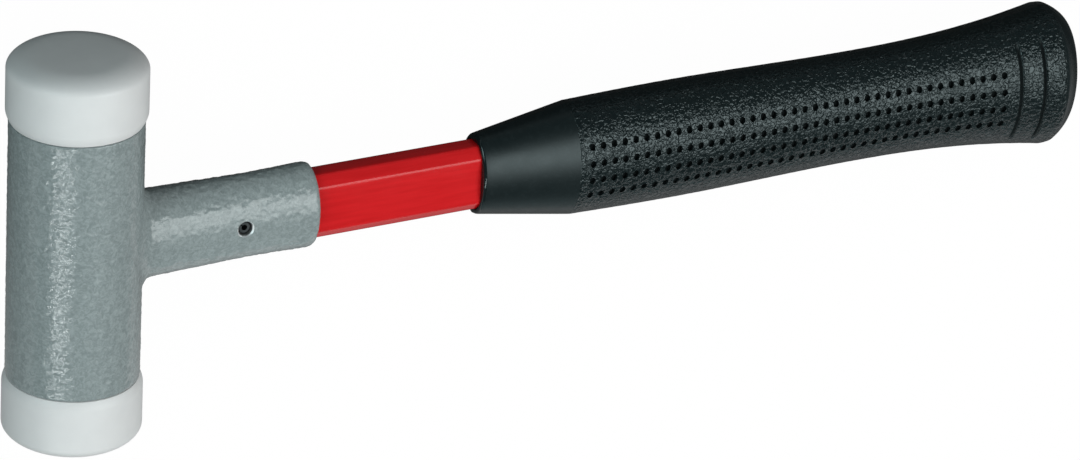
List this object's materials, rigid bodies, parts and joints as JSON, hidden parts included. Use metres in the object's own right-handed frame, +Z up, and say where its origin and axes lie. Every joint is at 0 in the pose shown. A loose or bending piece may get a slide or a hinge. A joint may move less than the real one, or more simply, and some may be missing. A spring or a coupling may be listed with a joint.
{
  "type": "dead blow hammer",
  "caption": "Two-faced dead blow hammer: steel head tube with loose shot inside, press-in nylon faces, pinned flat handle and a moulded oval grip.",
  "frame": {"origin": "middle of the base of the box round the hammer as it lies on its side", "axes": "+X along the handle from head to grip, +Y along the head axis, +Z up from the surface it lies on"},
  "size_m": [0.2978, 0.1044, 0.035],
  "materials": {
    "grey_enamel": "hammered grey enamel on steel",
    "white_nylon": "satin off-white nylon",
    "red_fibre": "glossy red glass-fibre bar",
    "black_rubber": "black moulded grip, grained and dimpled",
    "spring_steel": "oiled spring steel",
    "ball_steel": "bright steel balls",
    "disc_steel": "plain sheet steel"
  },
  "bodies": {
    "hammer": {"head_tube": "grey_enamel", "handle_socket": "grey_enamel", "handle_core": "red_fibre", "spring_pin": "spring_steel", "grip": "black_rubber", "upper_disc": "disc_steel", "lower_disc": "disc_steel"},
    "upper_face": {"upper_face": "white_nylon"},
    "lower_face": {"lower_face": "white_nylon"},
    "shot_charge": {"shot_01": "ball_steel", "shot_02": "ball_steel", "shot_03": "ball_steel", "shot_04": "ball_steel", "shot_05": "ball_steel", "shot_06": "ball_steel", "shot_07": "ball_steel", "shot_08": "ball_steel", "shot_09": "ball_steel", "shot_10": "ball_steel", "shot_11": "ball_steel", "shot_12": "ball_steel", "shot_13": "ball_steel", "shot_14": "ball_steel", "shot_15": "ball_steel", "shot_16": "ball_steel", "shot_17": "ball_steel", "shot_18": "ball_steel", "shot_19": "ball_steel", "shot_20": "ball_steel", "shot_21": "ball_steel", "shot_22": "ball_steel", "shot_23": "ball_steel", "shot_24": "ball_steel", "shot_25": "ball_steel", "shot_26": "ball_steel", "shot_27": "ball_steel", "shot_28": "ball_steel"}
  },
  "joints": [
    {"name": "shot_slide", "type": "slide", "parent": "hammer", "child": "shot_charge", "axis": [0, 1, 0], "range_m": [0, 0.00996]},
    {"name": "upper_face_pull", "type": "slide", "parent": "hammer", "child": "upper_face", "axis": [0, 1, 0], "range_m": [0, 0.014]},
    {"name": "lower_face_pull", "type": "slide", "parent": "hammer", "child": "lower_face", "axis": [0, -1, 0], "range_m": [0, 0.014]}
  ]
}
